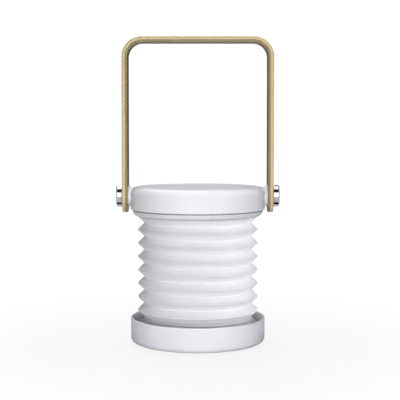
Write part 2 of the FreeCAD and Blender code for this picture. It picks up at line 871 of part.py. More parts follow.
def across_strip(edge):
    """True for the edges that only divide the strip's faces, across its width or its thickness."""
    box = edge.BoundBox
    over_width = box.XLength < 1e-4 and box.ZLength < 1e-4
    over_thickness = box.YLength < 1e-4 and max(box.XLength, box.ZLength) < handle_thickness + 1e-4
    return over_width or over_thickness


# ---------------------------------------------------------------- all pieces


def main():
    os.makedirs("parts", exist_ok=True)

    save("base_cup", base_cup())
    save("base_cover", base_cover())
    save("base_cover_screws", base_cover_screws())
    save("ballast_plate", ballast_plate())
    save("ballast_pad", ballast_pad())
    save("foot_pad", foot_pad())
    ring_top = shade_bottom + clamp_thickness
    save("shade_clamp_lower", clamp_ring(shade_bottom, ring_top, ring_top, lower_clamp_places()))
    save(
        "shade_clamp_lower_screws",
        countersunk(small_screw, ring_top, cover_top + ballast_foam + 0.4, lower_clamp_places()),
    )

    save("shade", shade())

    save("head_cover", head_cover())
    save("head_chassis", chassis())
    save("head_screws", countersunk(large_screw, plate_under, head_bottom + 5.0, head_screw_places()))
    ring_under = shade_top - clamp_thickness
    save("shade_clamp_upper", clamp_ring(ring_under, shade_top, ring_under, upper_clamp_places()))
    save(
        "shade_clamp_upper_screws",
        countersunk(small_screw, ring_under, frame_under - board_air - 1.2, upper_clamp_places()),
    )
    save("diffuser", diffuser())
    save("led_carrier", led_carrier())
    save(
        "led_carrier_screws",
        countersunk(fine_screw, led_board_under, plate_under + 0.8, ear_places()),
    )
    save("led_board", led_board())
    save("led_chips", led_chips())
    save("battery_frame", battery_frame())
    save("battery_frame_screws", pan_screws(small_screw, frame_top, plate_top - 0.5, frame_screw_places()))
    save("battery_cell", battery_cell())
    save("battery_tape", battery_tape())
    save("control_board", control_board())
    save(
        "control_board_screws",
        pan_screws(fine_screw, board_top, frame_under + 0.4, board_screw_places()),
    )
    save("control_parts", control_parts())
    save("usb_socket", usb_socket())
    save("charge_light", charge_light())
    save("touch_plate", touch_plate())
    save("touch_spring", touch_spring())
    save("battery_lead_red", battery_lead(1))
    save("battery_lead_black", battery_lead(-1))
    save("light_lead_red", light_lead(1))
    save("light_lead_black", light_lead(-1))

    save("handle_bow", handle_bow())
    for side, word in ((1, "right"), (-1, "left")):
        save("pivot_screw_" + word, along(side, pivot_screw()))
        save("pivot_nut_" + word, along(side, pivot_nut()))
        bore = shoulder_radius + running_gap
        save("pivot_washer_" + word, along(side, collar(bore, washer_radius, boss_face, washer_face)))
        save("pivot_bush_" + word, along(side, collar(bore, bush_radius, handle_inner, handle_outer)))
        felt = collar(bore, felt_radius, handle_outer, felt_face)
        save("pivot_felt_" + word, along(side, felt))

    print("fold travel", round(travel, 3), "mm, pivot line at", round(pivot_z, 3), "mm")


main()
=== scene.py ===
import math

import bpy
import numpy as np
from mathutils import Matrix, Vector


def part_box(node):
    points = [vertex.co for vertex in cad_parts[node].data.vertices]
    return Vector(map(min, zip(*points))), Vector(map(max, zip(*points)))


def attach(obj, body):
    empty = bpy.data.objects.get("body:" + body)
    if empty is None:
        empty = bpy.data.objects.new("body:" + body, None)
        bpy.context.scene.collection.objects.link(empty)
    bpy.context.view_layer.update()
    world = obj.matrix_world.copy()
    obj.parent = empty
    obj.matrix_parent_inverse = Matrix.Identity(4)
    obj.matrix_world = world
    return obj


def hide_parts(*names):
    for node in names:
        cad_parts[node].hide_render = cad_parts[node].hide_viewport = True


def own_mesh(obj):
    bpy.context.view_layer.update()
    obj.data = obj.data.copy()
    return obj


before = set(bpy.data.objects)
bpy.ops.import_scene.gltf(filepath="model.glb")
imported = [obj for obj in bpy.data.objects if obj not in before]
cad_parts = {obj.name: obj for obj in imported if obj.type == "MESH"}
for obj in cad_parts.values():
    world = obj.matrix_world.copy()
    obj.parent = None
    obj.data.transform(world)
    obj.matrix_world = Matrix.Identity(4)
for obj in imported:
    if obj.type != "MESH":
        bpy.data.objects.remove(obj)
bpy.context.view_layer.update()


# ---------------------------------------------------------------- moulded shells
# The base cup, its bottom cover, the head cover and the chassis under it are injection moulded in white
# plastic. The tool was spark-eroded, so the skin is satin with a very fine grain, and the tone drifts a
# The chassis is painted a darker white than the shells as painted shade, and painted shade lines darken its two
# seams.


def add_node(tree, kind, values=None, links=None, **settings):
    """Adds one shader node. settings are its properties, values the numbers on its sockets, and links the
    sockets that feed it."""
    made = tree.nodes.new("ShaderNode" + kind)
    for key, value in settings.items():
        setattr(made, key, value)
    for key, value in (values or {}).items():
        made.inputs[key].default_value = value
    for key, source in (links or {}).items():
        tree.links.new(source, made.inputs[key])
    return made


def calc(tree, operation, *terms, clamp=False):
    """One Math node on numbers or sockets, in their order; returns its result."""
    made = add_node(tree, "Math", operation=operation, use_clamp=clamp)
    for place, term in enumerate(terms):
        if isinstance(term, (int, float)):
            made.inputs[place].default_value = term
        else:
            tree.links.new(term, made.inputs[place])
    return made.outputs[0]


def noise(tree, place, scale, stretch=(1, 1, 1), detail=3.0, roughness=0.5, warp=0.0):
    """Noise with scale features to the metre, read where place says, after each axis is multiplied by
    stretch, so a small number draws long marks along that axis."""
    moved = add_node(tree, "Mapping", {"Scale": stretch}, {"Vector": place})
    values = {"Scale": scale, "Detail": detail, "Roughness": roughness, "Distortion": warp}
    return add_node(tree, "TexNoise", values, {"Vector": moved.outputs[0]}).outputs[0]


def spread(tree, value, low, high, new_low=0.0, new_high=1.0):
    """Carries the span from low to high onto another span, and holds its ends."""
    values = {"From Min": low, "From Max": high, "To Min": new_low, "To Max": new_high}
    return add_node(tree, "MapRange", values, {"Value": value}, clamp=True).outputs[0]


def mix_colour(tree, share, first, second):
    """The first colour where share is 0, and the second where it is 1; each is a triple or a socket."""
    made = add_node(tree, "Mix", data_type="RGBA")
    tree.links.new(share, made.inputs[0])
    for place, colour in ((6, first), (7, second)):
        if isinstance(colour, tuple):
            made.inputs[place].default_value = (*colour, 1.0)
        else:
            tree.links.new(colour, made.inputs[place])
    return made.outputs[2]


def new_group(name, numbers, results):
    """An empty shader group with a Place input, named number inputs with their usual values, and named
    number outputs. Returns the tree and its two end nodes."""
    tree = bpy.data.node_groups.new(name, "ShaderNodeTree")
    tree.interface.new_socket("Place", in_out="INPUT", socket_type="NodeSocketVector")
    for label, value in numbers.items():
        socket = tree.interface.new_socket(label, in_out="INPUT", socket_type="NodeSocketFloat")
        socket.default_value = value
    for label in results:
        tree.interface.new_socket(label, in_out="OUTPUT", socket_type="NodeSocketFloat")
    return tree, tree.nodes.new("NodeGroupInput"), tree.nodes.new("NodeGroupOutput")


def give(tree, end, **results):
    """Links each named result to the group's output node."""
    for label, socket in results.items():
        tree.links.new(socket, end.inputs[label])


def clad(name, group, dark, light, relief, settings=None, place="Object", **constants):
    """A material on one effect group: the colour runs from dark to light with the group's Tone, and its
    Roughness and Height go to the shader, the height as relief in metres. settings are the group's own
    numbers, and constants are set on the shader's sockets."""
    made = bpy.data.materials.new(name)
    made.use_nodes = True
    tree = made.node_tree
    shader = tree.nodes["Principled BSDF"]
    for label, value in constants.items():
        shader.inputs[label.replace("_", " ")].default_value = value
    effect = add_node(tree, "Group", node_tree=group)
    for label, value in (settings or {}).items():
        effect.inputs[label].default_value = value
    tree.links.new(add_node(tree, "TexCoord").outputs[place], effect.inputs["Place"])
    colour = mix_colour(tree, effect.outputs["Tone"], dark, light)
    tree.links.new(colour, shader.inputs["Base Color"])
    tree.links.new(effect.outputs["Roughness"], shader.inputs["Roughness"])
    bump = add_node(tree, "Bump", {"Distance": relief}, {"Height": effect.outputs["Height"]})
    tree.links.new(bump.outputs[0], shader.inputs["Normal"])
    return made


def dress(material, *nodes):
    """Gives CAD nodes this material in place of the frame's plain one."""
    for name in nodes:
        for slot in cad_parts[name].material_slots:
            slot.material = material


def moulded_group():
    """Spark-eroded skin: fine pits for the relief, a slow drift and fine speckle for the tone, and a
    roughness that follows both."""
    tree, start, end = new_group(
        "moulded skin", {"Pits": 2200.0, "Gloss": 0.4}, ("Tone", "Roughness", "Height")
    )
    place, pits, gloss = start.outputs[0], start.outputs["Pits"], start.outputs["Gloss"]
    drift = noise(tree, place, 38.0, detail=2.0)
    fine = noise(tree, place, 1.0, detail=4.0, roughness=0.6)
    tree.links.new(pits, fine.node.inputs["Scale"])
    speckle = spread(tree, fine, 0.3, 0.7)
    tone = calc(tree, "ADD", spread(tree, drift, 0.3, 0.7, 0.0, 0.72), calc(tree, "MULTIPLY", speckle, 0.28))
    scuffs = noise(tree, place, 420.0, stretch=(1, 1, 0.2), detail=5.0, roughness=0.7)
    rough = calc(tree, "ADD", gloss, spread(tree, scuffs, 0.35, 0.75, -0.05, 0.08))
    give(tree, end, Tone=tone, Roughness=rough, Height=speckle)
    return tree


moulded = moulded_group()
shell_white = clad(
    "white moulded shell",
    moulded,
    dark=(0.66, 0.665, 0.688),
    light=(0.715, 0.722, 0.739),
    relief=0.00002,
    settings={"Gloss": 0.36},
)
dress(shell_white, "base_cup", "base_cover", "head_cover")


def within(tree, value, low, high, edge):
    """1 between low and high and 0 outside them, with soft edges."""
    rise = spread(tree, value, low - edge, low + edge)
    fall = spread(tree, value, high - edge, high + edge, 1.0, 0.0)
    return calc(tree, "MULTIPLY", rise, fall)


def paint_seam_shade(material, dust_and_shade, seams):
    """Paints shade over a material's colour in its seams, as dark painted shade lines. Each seam is a band round the
    Z axis: its two heights, its two radii, and how dark its painted shade is; the painted shade is uneven round the
    ring."""
    tree = material.node_tree
    shader = tree.nodes["Principled BSDF"]
    place = add_node(tree, "TexCoord").outputs["Object"]
    height = add_node(tree, "SeparateXYZ", links={0: place}).outputs[2]
    level = add_node(tree, "VectorMath", {1: (1.0, 1.0, 0.0)}, {0: place}, operation="MULTIPLY").outputs[0]
    radius = add_node(tree, "VectorMath", links={0: level}, operation="LENGTH").outputs["Value"]
    unevenness = spread(tree, noise(tree, place, 350.0, detail=4.0), 0.3, 0.7, 0.7, 1.0)
    colour = shader.inputs["Base Color"].links[0].from_socket
    for low, high, inside, outside, amount in seams:
        band = calc(
            tree,
            "MULTIPLY",
            within(tree, height, low, high, 0.0001),
            within(tree, radius, inside, outside, 0.0002),
        )
        band = calc(tree, "MULTIPLY", calc(tree, "MULTIPLY", band, unevenness), amount)
        colour = mix_colour(tree, band, colour, dust_and_shade)
    tree.links.new(colour, shader.inputs["Base Color"])


skirt_low, skirt_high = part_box("head_chassis")
post_height = 0.0027  # from the seam under the head cover to the top of the chassis's posts
seam = skirt_high[2] - post_height
skirt_radius = skirt_high[0]
# Painted shade: the chassis's white is darker than the shells' white so that its sides and groove look shaded; the
# higher gloss keeps a highlight at the front.
chassis_shaded_white = clad(
    "white chassis",
    moulded,
    dark=(0.58, 0.585, 0.60),
    light=(0.64, 0.645, 0.66),
    relief=0.00002,
    settings={"Gloss": 0.24},
)
# Painted shade: a dark band in the groove under the head cover, and another under the skirt's lower round, where
# shade falls.
paint_seam_shade(
    chassis_shaded_white,
    (0.16, 0.155, 0.15),
    (
        (seam - 0.0011, seam + 0.0003, skirt_radius - 0.0014, skirt_radius + 0.001, 1.0),
        (skirt_low[2] - 0.001, skirt_low[2] + 0.0008, skirt_radius - 0.0062, skirt_radius, 0.7),
    ),
)
dress(chassis_shaded_white, "head_chassis")


# ---------------------------------------------------------------- weight, pads and foot
# A plated steel disc in the base keeps the lantern upright. A foam ring stops it from rattling, and a
# soft moulded ring is the foot. The same foam, as a tape, holds the battery.


def plated_group():
    """Rolled and plated steel: long rolling lines, cloudy plating, and small stains."""
    tree, start, end = new_group("plated steel", {"Lines": 900.0, "Polish": 0.3}, ("Tone", "Roughness", "Height"))
    place = start.outputs[0]
    lines = noise(tree, place, 1.0, stretch=(0.04, 1, 1), detail=4.0)
    tree.links.new(start.outputs["Lines"], lines.node.inputs["Scale"])
    clouds = noise(tree, place, 130.0, detail=4.0, warp=0.6)
    tone = spread(tree, calc(tree, "ADD", lines, clouds), 0.7, 1.3)
    rough = calc(tree, "ADD", start.outputs["Polish"], spread(tree, clouds, 0.3, 0.7, -0.06, 0.12))
    give(tree, end, Tone=tone, Roughness=rough, Height=lines)
    return tree


def cellular_group():
    """Foam or soft rubber: round cells or grains, with dust held in the low places."""
    tree, start, end = new_group("cells", {"Cells": 1800.0, "Dullness": 0.85}, ("Tone", "Roughness", "Height"))
    place = start.outputs[0]
    cells = add_node(tree, "TexVoronoi", links={"Vector": place})
    tree.links.new(start.outputs["Cells"], cells.inputs["Scale"])
    depth = spread(tree, cells.outputs["Distance"], 0.05, 0.7)
    dust_and_shade = noise(tree, place, 240.0, detail=5.0)
    tone = calc(tree, "ADD", calc(tree, "MULTIPLY", depth, 0.5), spread(tree, dust_and_shade, 0.3, 0.75, 0.0, 0.5))
    rough = calc(tree, "ADD", start.outputs["Dullness"], spread(tree, dust_and_shade, 0.3, 0.7, -0.08, 0.08))
    give(tree, end, Tone=tone, Roughness=rough, Height=depth)
    return tree


plated = plated_group()
cellular = cellular_group()
ballast_steel = clad(
    "zinc plated ballast", plated, (0.36, 0.36, 0.38), (0.55, 0.55, 0.56), 0.00002, Metallic=1.0
)
foam = clad("grey foam", cellular, (0.10, 0.10, 0.105), (0.22, 0.22, 0.23), 0.0002)
foot_rubber = clad(
    "foot rubber",
    cellular,
    (0.30, 0.30, 0.295),
    (0.42, 0.42, 0.41),
    0.00004,
    settings={"Cells": 2600.0, "Dullness": 0.7},
)
dress(ballast_steel, "ballast_plate")
dress(foam, "ballast_pad", "battery_tape")
dress(foot_rubber, "foot_pad")


# ---------------------------------------------------------------- small screws and nuts
# Zinc plated steel screws hold the covers, the shade clamps and the boards. The two nuts of the pivots
# are plated the same way.

small_steel = clad(
    "zinc plated screw",
    plated,
    (0.50, 0.51, 0.54),
    (0.74, 0.75, 0.77),
    0.00001,
    settings={"Lines": 2600.0, "Polish": 0.26},
    Metallic=1.0,
)
dress(
    small_steel,
    "base_cover_screws",
    "shade_clamp_lower_screws",
    "shade_clamp_upper_screws",
    "head_screws",
    "led_carrier_screws",
    "battery_frame_screws",
    "control_board_screws",
    "pivot_nut_left",
    "pivot_nut_right",
)


# ---------------------------------------------------------------- shade clamps and light carrier
# Two flat rings press the ends of the shade, and a third ring holds the light board. They are moulded
# in plain white plastic with a coarser skin than the shells, because they are never seen in use.

inner_white = clad(
    "white inner moulding",
    moulded,
    (0.68, 0.68, 0.68),
    (0.79, 0.79, 0.785),
    0.00003,
    settings={"Pits": 1400.0, "Gloss": 0.5},
)
dress(inner_white, "shade_clamp_lower", "shade_clamp_upper", "led_carrier")


# ---------------------------------------------------------------- pleated shade
# One sheet of white spun-bonded paper, creased across into pleats, rolled into a tube and glued in a
# lap at the back. Its ends turn inwards as flat flanges under the clamp rings. Hand-set creases are
# never quite level, and the valleys stay a little rounder than the ridges.

sheet_thickness = 0.00025
screw_clearance = 0.00003  # between the upper flange and the plane of the head screws
shade_low, shade_high = (np.array(corner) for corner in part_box("shade"))
ridge_radius = shade_high[0] - sheet_thickness / 2
pleat_depth = 0.0058 - sheet_thickness
panel_count = 17
flange_inner = 0.037
lap_width = 0.009


def crease_profile(steps):
    """Radius and height of the sheet's middle, from the upper flange's inner edge down to the lower one's.
    Between the flanges the radius is a triangle wave with softened corners, arcsin(k cos) / arcsin(k),
    where k is nearer to 1 at a ridge than at a valley; steps gather near each crease. Also returns how
    many creases lie above each point, as a number that runs along the panels."""
    share = (1 - np.cos(np.linspace(0, math.pi, steps + 1))) / 2
    count = np.append((np.arange(panel_count)[:, None] + share[None, :-1]).ravel(), panel_count)
    swing = np.cos(math.pi * count)
    sharp = np.where(swing > 0, 0.995, 0.972)
    wave = (1 + np.arcsin(sharp * swing) / np.arcsin(sharp)) / 2
    top = shade_high[2] - sheet_thickness / 2 - screw_clearance
    bottom = shade_low[2] + sheet_thickness / 2
    radius = ridge_radius - pleat_depth * (1 - wave)
    height = top + (bottom - top) * count / panel_count
    upper = np.linspace(flange_inner, radius[0], 6)[:-1]
    lower = np.linspace(radius[-1], flange_inner, 5)[1:]
    radius = np.concatenate([upper, radius, lower])
    height = np.concatenate([np.full(5, top), height, np.full(4, bottom)])
    count = np.concatenate([np.zeros(5), count, np.full(4, float(panel_count))])
    return radius, height, count


def crease_wander(count, angle, seed, size):
    """How far each crease strays from its place: two slow waves round the tube with their own phase for
    each crease, carried straight over the panels between creases, and none where the sheet is clamped."""
    draw = np.random.default_rng(seed)
    phases = draw.uniform(0, 2 * math.pi, (panel_count + 1, 2))
    sizes = size * draw.uniform(0.3, 1.0, (panel_count + 1, 2))
    waves = np.stack([angle, 2 * angle])[None] + phases[:, :, None]
    stray = (sizes[:, :, None] * np.cos(waves)).sum(axis=1)
    stray += draw.normal(0, size / 2, (panel_count + 1, 1))
    stray[0] = stray[-1] = 0
    below = np.minimum(count.astype(int), panel_count - 1)
    over = (count - below)[:, None]
    return stray[below] * (1 - over) + stray[below + 1] * over


def around_with_lap(columns):
    """Angles round the tube, with extra columns where the lap's raised edge stands, and the lap's height
    at each angle: one sheet thickness over the lap, falling off in a short slope at its edges."""
    middle, half = math.pi / 2, lap_width / ridge_radius / 2
    slope = 0.0003 / ridge_radius
    edges = [middle - half - slope, middle - half, middle + half, middle + half + 3 * slope]
    angle = np.sort(np.append(np.linspace(0, 2 * math.pi, columns, endpoint=False), edges))
    raised = np.interp(angle, edges, [0, 1, 1, 0]) * sheet_thickness
    return angle, raised


def closed_sheet(name, steps, columns):
    """A tube of real thickness. Point (i, j) of the middle is (r_i cos a_j, r_i sin a_j, z_i); the outer
    and inner faces stand half a thickness off it along the profile's normal, and strips close the ends.
    The map u, v is the distance round and along the flat sheet, in metres. Also returns the flat sheet's
    two sizes, and where its outward creases start and how far apart they lie."""
    radius, height, count = crease_profile(steps)
    angle, raised = around_with_lap(columns)
    rows, turns = len(radius), len(angle)
    radii = radius[:, None] + crease_wander(count, angle, 4, 0.00004)
    heights = height[:, None] + crease_wander(count, angle, 9, 0.00004)
    slope_r, slope_z = np.gradient(radii, axis=0), np.gradient(heights, axis=0)
    length = np.hypot(slope_r, slope_z)
    normal_r, normal_z = -slope_z / length, slope_r / length
    faces_of = []
    for side in (0.5, -0.5):
        off = side * sheet_thickness + (raised[None, :] if side > 0 else 0)
        r, z = radii + off * normal_r, heights + off * normal_z
        faces_of.append(np.stack([r * np.cos(angle), r * np.sin(angle), z], axis=-1).reshape(-1, 3))
    points = np.concatenate(faces_of)
    here = np.arange(rows * turns).reshape(rows, turns)
    right = np.roll(here, -1, axis=1)
    outer = np.stack([here[:-1], here[1:], right[1:], right[:-1]], axis=-1).reshape(-1, 4)
    inner = outer[:, ::-1] + rows * turns
    second = rows * turns
    first_edge = np.stack([here[0], right[0], right[0] + second, here[0] + second], axis=-1)
    last_edge = np.stack([right[-1], here[-1], here[-1] + second, right[-1] + second], axis=-1)
    faces = np.concatenate([outer, inner, first_edge, last_edge])
    mesh = bpy.data.meshes.new(name)
    mesh.from_pydata(points.tolist(), [], faces.tolist())
    along = np.concatenate([[0], np.cumsum(np.hypot(np.diff(radius), np.diff(height)))])
    u = np.append(angle, 2 * math.pi)[None, :] * (ridge_radius - pleat_depth / 2) + 0 * along[:, None]
    v = along[:, None] + 0 * u
    column = faces % second % turns
    wraps = (column.max(axis=1) - column.min(axis=1) > 1)[:, None]
    column = np.where(wraps & (column == 0), turns, column)
    row = faces % second // turns
    flat = np.stack([u[row, column], v[row, column]], axis=-1).reshape(-1)
    mesh.uv_layers.new(name="flat sheet").data.foreach_set("uv", flat)
    mesh.shade_smooth()
    piece = bpy.data.objects.new(name, mesh)
    bpy.context.scene.collection.objects.link(piece)
    start, end = along[5], along[-5]
    return piece, (u[0, -1], along[-1]), (start, 2 * (end - start) / panel_count)


def paper_group():
    """Spun-bonded paper: long fibres that curl and cross, with thin and dense patches. The outward creases
    carry painted shade lines, which fade over Fade metres to either side; they lie one Pitch
    apart along the sheet, from First on. Past the outward crease whose number is given last, painted shadow of the
    base's rim lies on the sheet."""
    numbers = {"Fibres": 900.0, "First": 0.0, "Pitch": 0.016, "Fade": 0.004, "Dusty": 7.4}
    masks = ("Crease", "Dust")
    tree, start, end = new_group("spun-bonded paper", numbers, ("Tone", "Roughness", "Height", *masks))
    place = start.outputs[0]
    down = add_node(tree, "SeparateXYZ", links={0: place}).outputs[1]
    turns = calc(tree, "DIVIDE", calc(tree, "SUBTRACT", down, start.outputs["First"]), start.outputs["Pitch"])
    past = calc(tree, "ABSOLUTE", calc(tree, "SUBTRACT", turns, calc(tree, "ROUND", turns)))
    past = calc(tree, "DIVIDE", calc(tree, "MULTIPLY", past, start.outputs["Pitch"]), start.outputs["Fade"])
    blotch = spread(tree, noise(tree, place, 90.0, stretch=(0.3, 1, 1)), 0.3, 0.7, 0.75, 1.0)
    # Painted shade: a line along each outward crease that fades to either side.
    crease = add_node(
        tree, "MapRange", {"To Min": 1.0, "To Max": 0.0}, {"Value": past}, interpolation_type="SMOOTHSTEP"
    )
    crease = calc(tree, "MULTIPLY", crease.outputs[0], blotch)
    # Painted shadow of the base's rim: the sheet turns darker past the crease number given last.
    deeper = calc(tree, "SUBTRACT", turns, start.outputs["Dusty"])
    dust_and_shade = calc(tree, "MULTIPLY", spread(tree, deeper, -0.06, 0.06), blotch)
    curls = noise(tree, place, 240.0, detail=2.0)
    bent = add_node(tree, "CombineXYZ", links={"X": curls, "Y": noise(tree, place, 260.0)})
    shift = add_node(
        tree, "VectorMath", {1: (0.004, 0.004, 0.0)}, {0: bent.outputs[0]}, operation="MULTIPLY"
    )
    moved = add_node(tree, "VectorMath", links={0: place, 1: shift.outputs[0]}, operation="ADD").outputs[0]
    fibres = None
    for stretch in ((1.0, 0.12, 1.0), (0.12, 1.0, 1.0)):
        strand = noise(tree, moved, 1.0, stretch=stretch, detail=3.0)
        tree.links.new(start.outputs["Fibres"], strand.node.inputs["Scale"])
        strand = spread(tree, strand, 0.52, 0.68)
        fibres = strand if fibres is None else calc(tree, "MAXIMUM", fibres, strand)
    patches = noise(tree, place, 150.0, detail=4.0, roughness=0.6)
    dense = spread(tree, patches, 0.3, 0.7)
    tone = calc(tree, "ADD", calc(tree, "MULTIPLY", fibres, 0.45), calc(tree, "MULTIPLY", dense, 0.55))
    rough = spread(tree, fibres, 0.0, 1.0, 0.72, 0.58)
    give(tree, end, Tone=tone, Roughness=rough, Height=fibres, Crease=crease, Dust=dust_and_shade)
    return tree


def shade_material(first, pitch):
    """White paper that lets part of the light through, and less of it where painted shade darkens its colour:
    along the outward creases, and as painted shadow of the base's rim on the lowest pleat."""
    made = clad(
        "shade paper",
        paper_group(),
        (0.90, 0.885, 0.91),
        (0.96, 0.945, 0.965),
        0.00003,
        settings={"First": first, "Pitch": pitch},
        place="UV",
        Sheen_Weight=0.15,
    )
    tree = made.node_tree
    shader = tree.nodes["Principled BSDF"]
    effect = next(node for node in tree.nodes if node.type == "GROUP")
    paper = shader.inputs["Base Color"].links[0].from_socket
    # Painted shade: grey along each outward crease.
    crease_shade = calc(tree, "MULTIPLY", effect.outputs["Crease"], 0.2)
    paper = mix_colour(tree, crease_shade, paper, (0.30, 0.29, 0.31))
    # Painted shadow of the base's rim over the lowest pleat.
    rim_shadow = calc(tree, "MULTIPLY", effect.outputs["Dust"], 0.6)
    paper = mix_colour(tree, rim_shadow, paper, (0.42, 0.41, 0.42))
    tree.links.new(paper, shader.inputs["Base Color"])
    glow = add_node(tree, "BsdfTranslucent", links={"Color": paper})
    both = add_node(tree, "MixShader", {0: 0.3}, {1: shader.outputs[0], 2: glow.outputs[0]})
    tree.links.new(both.outputs[0], tree.nodes["Material Output"].inputs[0])
    return made


shade, flat_size, ridges = closed_sheet("pleated_shade", steps=9, columns=236)
shade.data.materials.append(shade_material(*ridges))
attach(shade, "base")
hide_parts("shade")
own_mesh(shade)


# ---------------------------------------------------------------- light board and lens
# Light chips with yellow resin sit on a white-coated aluminium disc. The lens below them is moulded in
# opal plastic, frosted on the inside, and a clear rod carries the charging light to the back wall.

board_white = clad(
    "white coated board",
    moulded,
    (0.74, 0.74, 0.72),
    (0.86, 0.86, 0.85),
    0.00001,
    settings={"Pits": 3000.0, "Gloss": 0.3},
)
chip_resin = clad(
    "chip resin", cellular, (0.62, 0.42, 0.07), (0.80, 0.60, 0.14), 0.00002, settings={"Dullness": 0.45}
)
opal = clad(
    "opal lens",
    moulded,
    (0.80, 0.80, 0.78),
    (0.90, 0.90, 0.885),
    0.000015,
    settings={"Gloss": 0.42},
    Subsurface_Weight=0.3,
    Subsurface_Radius=(0.002, 0.002, 0.002),
)
clear_rod = clad(
    "clear rod",
    moulded,
    (0.86, 0.89, 0.89),
    (0.95, 0.96, 0.96),
    0.00001,
    settings={"Gloss": 0.1},
    Transmission_Weight=0.9,
)
dress(board_white, "led_board")
dress(chip_resin, "led_chips")
dress(opal, "diffuser")
dress(clear_rod, "charge_light")


# ---------------------------------------------------------------- battery and control board
# A foil pouch cell lies in a grey moulded frame. The board behind it is glass fibre with a green mask,
# with black chips, a plated socket, a copper disc for the touch switch and the coil that joins them.


def board_group():
    """Solder mask: the weave of the glass cloth under it, and copper tracks as slightly raised lines."""
    tree, start, end = new_group("solder mask", {"Tracks": 420.0}, ("Tone", "Roughness", "Height"))
    place = start.outputs[0]
    weave = noise(tree, place, 2400.0, stretch=(1, 0.3, 1), detail=1.0)
    cells = add_node(tree, "TexVoronoi", links={"Vector": place}, distance="MANHATTAN")
    tree.links.new(start.outputs["Tracks"], cells.inputs["Scale"])
    tracks = spread(tree, cells.outputs["Distance"], 0.42, 0.46)
    tone = calc(tree, "ADD", calc(tree, "MULTIPLY", tracks, 0.6), calc(tree, "MULTIPLY", weave, 0.4))
    give(tree, end, Tone=tone, Roughness=spread(tree, weave, 0.2, 0.8, 0.3, 0.42), Height=tracks)
    return tree


solder_mask = clad("green solder mask", board_group(), (0.01, 0.10, 0.035), (0.03, 0.23, 0.09), 0.00003)
chip_black = clad(
    "black chips", moulded, (0.012, 0.012, 0.013), (0.035, 0.035, 0.037), 0.00001, settings={"Gloss": 0.5}
)
pouch_foil = clad(
    "battery foil",
    plated,
    (0.55, 0.56, 0.58),
    (0.76, 0.77, 0.79),
    0.00003,
    settings={"Lines": 300.0, "Polish": 0.34},
    Metallic=0.9,
)
frame_grey = clad(
    "grey frame", moulded, (0.24, 0.25, 0.27), (0.33, 0.34, 0.36), 0.00003, settings={"Gloss": 0.48}
)
socket_nickel = clad(
    "nickel plated sheet",
    plated,
    (0.60, 0.60, 0.61),
    (0.80, 0.80, 0.80),
    0.00001,
    settings={"Lines": 1600.0, "Polish": 0.22},
    Metallic=1.0,
)
copper = clad(
    "copper foil", plated, (0.62, 0.27, 0.14), (0.86, 0.46, 0.28), 0.00001, settings={"Polish": 0.3}, Metallic=1.0
)
dress(solder_mask, "control_board")
dress(chip_black, "control_parts")
dress(pouch_foil, "battery_cell")
dress(frame_grey, "battery_frame")
dress(socket_nickel, "usb_socket", "touch_spring")
dress(copper, "touch_plate")


# ---------------------------------------------------------------- leads
# Four short leads with soft insulation, red and black, made in one piece by the frame.

red_lead = clad(
    "red insulation", moulded, (0.42, 0.02, 0.015), (0.62, 0.05, 0.035), 0.00001, settings={"Gloss": 0.34}
)
black_lead = clad(
    "black insulation", moulded, (0.010, 0.010, 0.011), (0.03, 0.03, 0.032), 0.00001, settings={"Gloss": 0.36}
)
dress(red_lead, "battery_lead_red", "light_lead_red")
dress(black_lead, "battery_lead_black", "light_lead_black")


# ---------------------------------------------------------------- pivots
# Each end of the bow turns on a chromed shoulder screw with a wide domed head. A brass bush lines the
# wood, a felt washer under the head gives the friction, and a light spacer keeps the bow off the head.


def turned_group():
    """Lathe-turned and polished metal: very fine rings about the pivot line, hairline scratches across
    them, and a faint haze."""
    tree, start, end = new_group("turned metal", {"Polish": 0.05}, ("Tone", "Roughness", "Height"))
    place = start.outputs[0]
    pivot_height = float(sum(corner[2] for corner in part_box("pivot_bush_right")) / 2)
    centred = add_node(
        tree, "VectorMath", {1: (0.0, 0.0, pivot_height)}, {0: place}, operation="SUBTRACT"
    ).outputs[0]
    parts = add_node(tree, "SeparateXYZ", links={0: centred})
    reach = calc(
        tree,
        "SQRT",
        calc(
            tree,
            "ADD",
            calc(tree, "POWER", parts.outputs[1], 2.0),
            calc(tree, "POWER", parts.outputs[2], 2.0),
        ),
    )
    ring_place = add_node(tree, "CombineXYZ", links={0: reach, 1: parts.outputs[0]}).outputs[0]
    rings = noise(tree, ring_place, 2600.0, detail=2.0)
    hairs = spread(tree, noise(tree, centred, 700.0, stretch=(1, 0.06, 1), detail=4.0), 0.62, 0.74)
    haze = noise(tree, centred, 260.0, detail=3.0)
    tone = spread(tree, calc(tree, "ADD", rings, haze), 0.6, 1.2)
    rough = calc(tree, "ADD", start.outputs["Polish"], spread(tree, haze, 0.4, 0.8, 0.0, 0.05))
    rough = calc(tree, "ADD", rough, calc(tree, "MULTIPLY", hairs, 0.06))
    give(tree, end, Tone=tone, Roughness=rough, Height=calc(tree, "ADD", rings, hairs))
    return tree


turned = turned_group()
chrome = clad(
    "polished chrome", turned, (0.80, 0.81, 0.83), (0.90, 0.905, 0.915), 0.000001, Metallic=1.0
)
brass = clad(
    "turned brass", turned, (0.55, 0.38, 0.12), (0.80, 0.60, 0.26), 0.000004, settings={"Polish": 0.2}, Metallic=1.0
)
spacer = clad(
    "light spacer", moulded, (0.50, 0.50, 0.515), (0.60, 0.60, 0.615), 0.00001, settings={"Gloss": 0.3}
)


